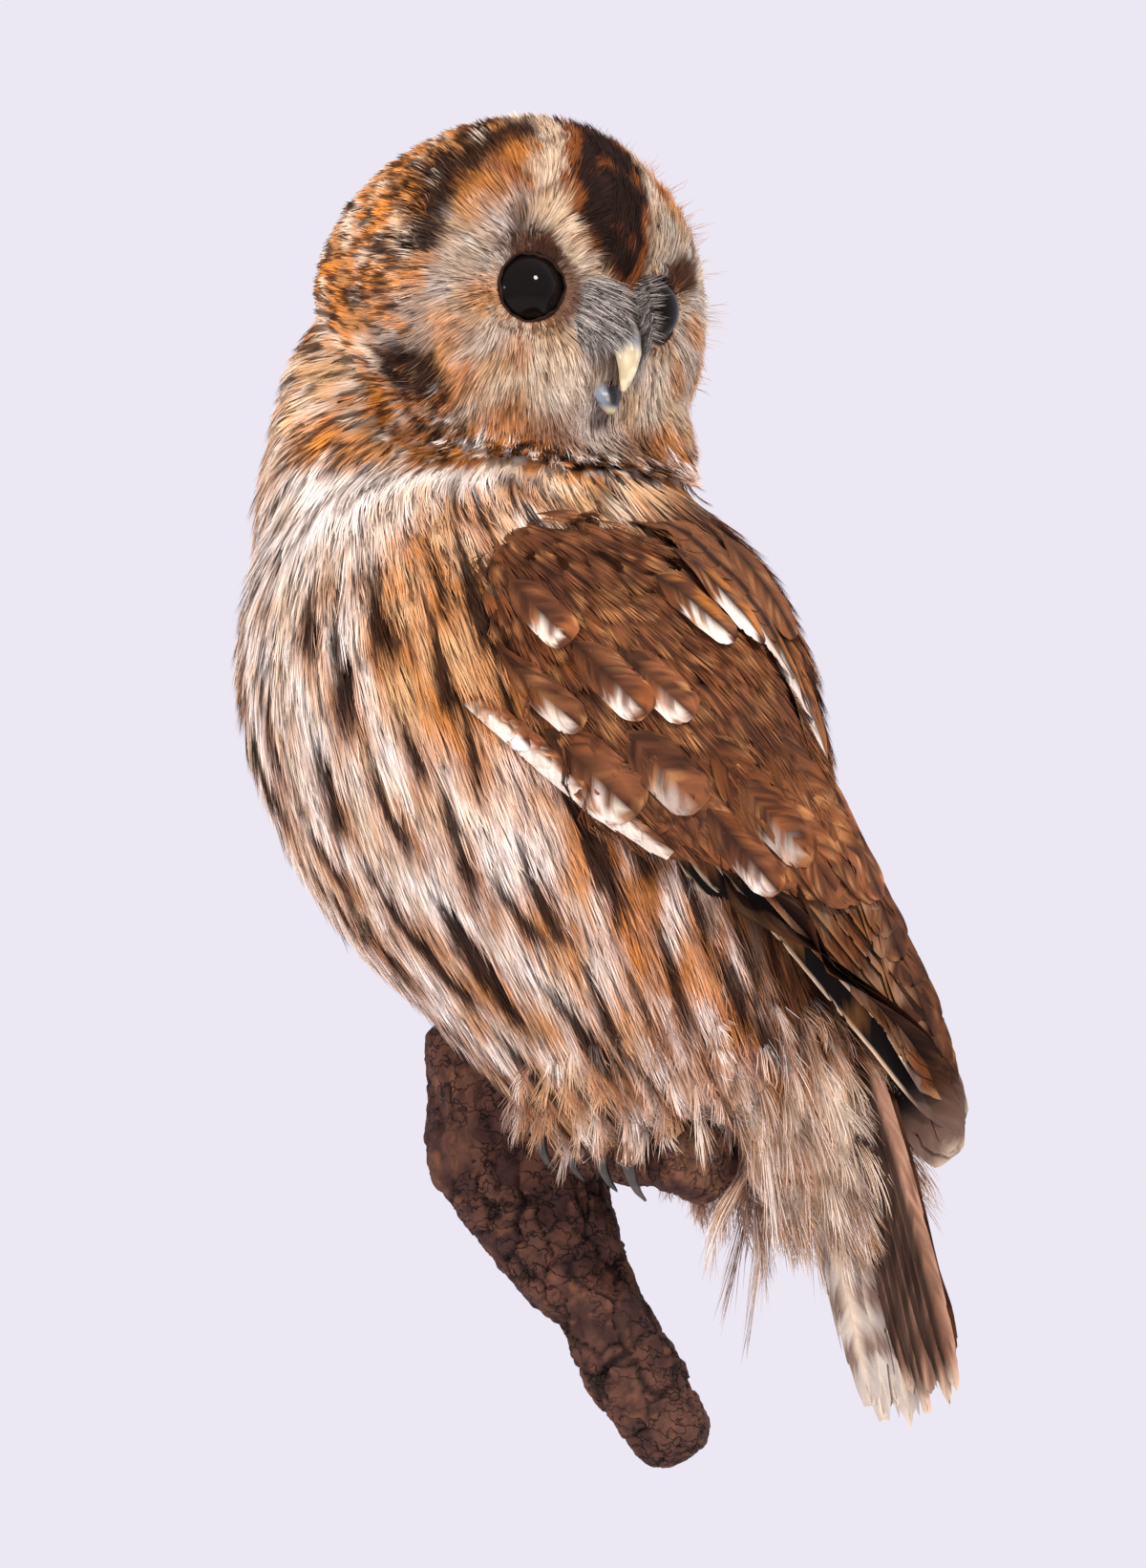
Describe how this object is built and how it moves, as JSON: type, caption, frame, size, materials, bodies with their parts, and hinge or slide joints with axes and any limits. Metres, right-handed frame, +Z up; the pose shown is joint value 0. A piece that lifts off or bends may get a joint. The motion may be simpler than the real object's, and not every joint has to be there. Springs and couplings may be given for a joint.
{
  "type": "taxidermy tawny owl",
  "caption": "Life-size taxidermy tawny owl, head turned over its left shoulder, standing on a piece of rough oak branch that hangs on a wall by its sawn butt.",
  "frame": {"origin": "middle of the sawn flat face of the branch's butt, where it meets the wall", "axes": "+X along the wall to the right as the viewer sees it, +Y into the wall, +Z up; the bird's breast looks along -X"},
  "size_m": [0.1939, 0.1526, 0.3543],
  "materials": {
    "body_plumage": "soft cream and buff contour feathers with dark brown shaft streaks",
    "head_plumage": "fine rufous and buff feathers, barred facial disc with a dark rim",
    "flight_feathers": "stiff mottled brown vanes with cream bars and white spots",
    "foot_down": "short cream down over the toes",
    "eye": "polished black-brown glass",
    "bill": "ivory horn, satin",
    "bill_grey": "blue-grey horn, satin",
    "claw": "black horn, satin",
    "bark": "rough dark bark, deeply cracked, worn to orange-brown on its edges"
  },
  "bodies": {
    "root": {"branch": "bark", "head": "head_plumage", "neck": "body_plumage", "trunk": "body_plumage", "vent": "body_plumage", "bill_upper": "bill", "bill_lower": "bill_grey", "eye_right": "eye", "eye_left": "eye", "wing_left": "flight_feathers", "primaries_left": "flight_feathers", "wing_right": "flight_feathers", "primaries_right": "flight_feathers", "tail": "flight_feathers", "leg_left": "body_plumage", "foot_left": "foot_down", "leg_right": "body_plumage", "foot_right": "foot_down", "claw_left_1": "claw", "claw_left_2": "claw", "claw_left_3": "claw", "claw_left_4": "claw", "claw_right_1": "claw", "claw_right_2": "claw", "claw_right_3": "claw", "claw_right_4": "claw"}
  },
  "joints": []
}
